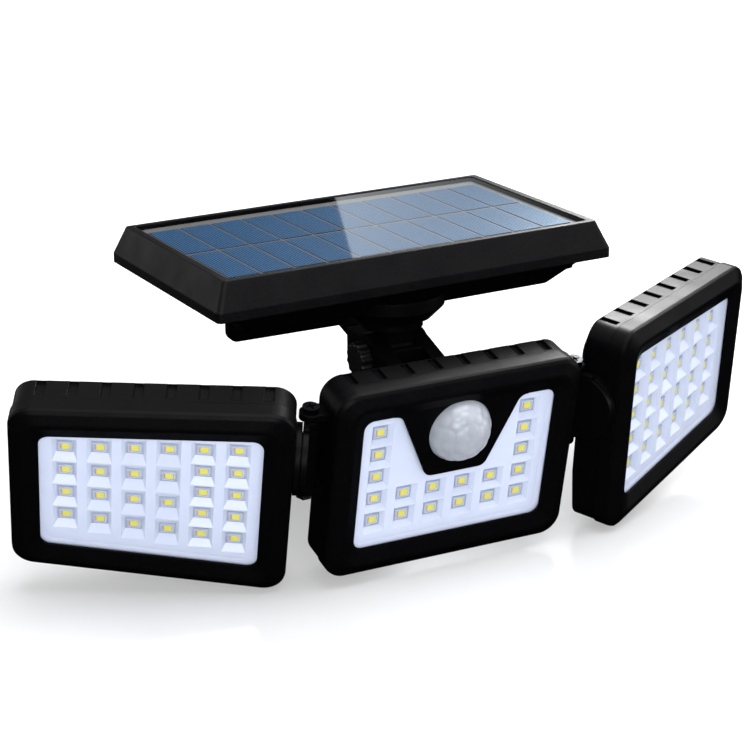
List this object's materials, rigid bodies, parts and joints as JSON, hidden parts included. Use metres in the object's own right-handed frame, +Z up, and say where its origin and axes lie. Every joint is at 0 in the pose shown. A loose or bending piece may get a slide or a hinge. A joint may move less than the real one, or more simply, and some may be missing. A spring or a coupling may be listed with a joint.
{
  "type": "solar motion-sensor wall floodlight",
  "caption": "Wall floodlight with a row of hinged lamp heads, a domed motion sensor in the middle head and a tilting solar panel above, on a short wall bracket.",
  "frame": {"origin": "centre of the wall plate's back face, midway between its two screw holes", "axes": "+X along the wall, -Y out of the wall to where the lamp heads face, +Z up"},
  "size_m": [0.3205, 0.1563, 0.1195],
  "materials": {
    "black_plastic": "fine moulded grain, satin",
    "clear_cover": "clear polycarbonate, polished",
    "white_reflector": "white moulded wells, half gloss",
    "lamp_board": "white solder mask",
    "lamp_phosphor": "yellow phosphor",
    "black_rubber": "matt",
    "black_screw": "black zinc",
    "steel": "zinc plated",
    "sensor_dome": "milky moulded lens",
    "sensor_can": "drawn can",
    "circuit_board": "solder mask",
    "button_plastic": "satin",
    "panel_glass": "tempered, polished",
    "solar_cell": "blue polycrystalline, coated",
    "cell_backing": "resin board",
    "battery_wrap": "heat-shrink sleeve",
    "holder_plastic": "moulded"
  },
  "bodies": {
    "bracket": {"wall_bracket": "black_plastic", "panel_hinge_bolt": "black_plastic", "panel_hinge_nut": "steel", "head_hinge_bolt": "black_screw", "head_hinge_nut": "steel"},
    "stem": {"panel_stem": "black_plastic", "stem_washer": "steel", "stem_screw": "black_screw"},
    "panel": {"panel_frame": "black_plastic", "panel_glass": "panel_glass", "solar_cells": "solar_cell", "cell_board": "cell_backing", "panel_tray": "black_plastic", "tray_screws": "black_screw", "battery_cells": "battery_wrap", "battery_holder": "holder_plastic", "charge_board": "circuit_board"},
    "centre_head": {"centre_bezel": "black_plastic", "centre_casing": "black_plastic", "centre_lens": "clear_cover", "centre_reflector": "white_reflector", "centre_lamp_board": "lamp_board", "centre_lamps": "lamp_phosphor", "centre_gasket": "black_rubber", "centre_case_screws": "black_screw", "pir_dome": "sensor_dome", "pir_sensor": "sensor_can", "control_board": "circuit_board", "button_seal": "black_rubber", "left_yaw_bolt": "black_screw", "left_yaw_nut": "steel", "right_yaw_bolt": "black_screw", "right_yaw_nut": "steel"},
    "button": {"mode_button": "button_plastic"},
    "left_elbow": {"left_elbow": "black_plastic", "left_roll_washer": "steel", "left_roll_screw": "black_screw"},
    "right_elbow": {"right_elbow": "black_plastic", "right_roll_washer": "steel", "right_roll_screw": "black_screw"},
    "left_head": {"left_bezel": "black_plastic", "left_lens": "clear_cover", "left_reflector": "white_reflector", "left_lamp_board": "lamp_board", "left_lamps": "lamp_phosphor", "left_gasket": "black_rubber", "left_casing": "black_plastic", "left_case_screws": "black_screw"},
    "right_head": {"right_bezel": "black_plastic", "right_lens": "clear_cover", "right_reflector": "white_reflector", "right_lamp_board": "lamp_board", "right_lamps": "lamp_phosphor", "right_gasket": "black_rubber", "right_casing": "black_plastic", "right_case_screws": "black_screw"}
  },
  "joints": [
    {"name": "panel_tilt", "type": "hinge", "parent": "bracket", "child": "stem", "pos_m": [0, -0.091, 0.001], "axis": [1, 0, 0], "range_deg": [-10, 15]},
    {"name": "panel_swivel", "type": "hinge", "parent": "stem", "child": "panel", "pos_m": [0, -0.091, 0.001], "axis": [0, 0.0192, 0.9998], "range_deg": [-10, 10]},
    {"name": "head_tilt", "type": "hinge", "parent": "bracket", "child": "centre_head", "pos_m": [0, -0.112, -0.003], "axis": [1, 0, 0], "range_deg": [-15, 25]},
    {"name": "left_yaw", "type": "hinge", "parent": "centre_head", "child": "left_elbow", "pos_m": [-0.0558, -0.12928, -0.02632], "axis": [0, 0.2062, -0.9785], "range_deg": [-26.3, 17]},
    {"name": "right_yaw", "type": "hinge", "parent": "centre_head", "child": "right_elbow", "pos_m": [0.0558, -0.12928, -0.02632], "axis": [0, -0.2062, 0.9785], "range_deg": [-28.9, 14.5]},
    {"name": "left_roll", "type": "hinge", "parent": "left_elbow", "child": "left_head", "pos_m": [-0.05802, -0.13593, -0.01648], "axis": [0.8965, -0.4335, -0.0914], "range_deg": [-15, 25]},
    {"name": "right_roll", "type": "hinge", "parent": "right_elbow", "child": "right_head", "pos_m": [0.05822, -0.13583, -0.01646], "axis": [0.8755, 0.4729, 0.0997], "range_deg": [-15, 25]},
    {"name": "mode_button_press", "type": "slide", "parent": "centre_head", "child": "button", "axis": [0, -0.9785, -0.2062], "range_m": [0, 0.0012], "stiffness_N_per_m": 400, "springref_m": -0.0005}
  ]
}
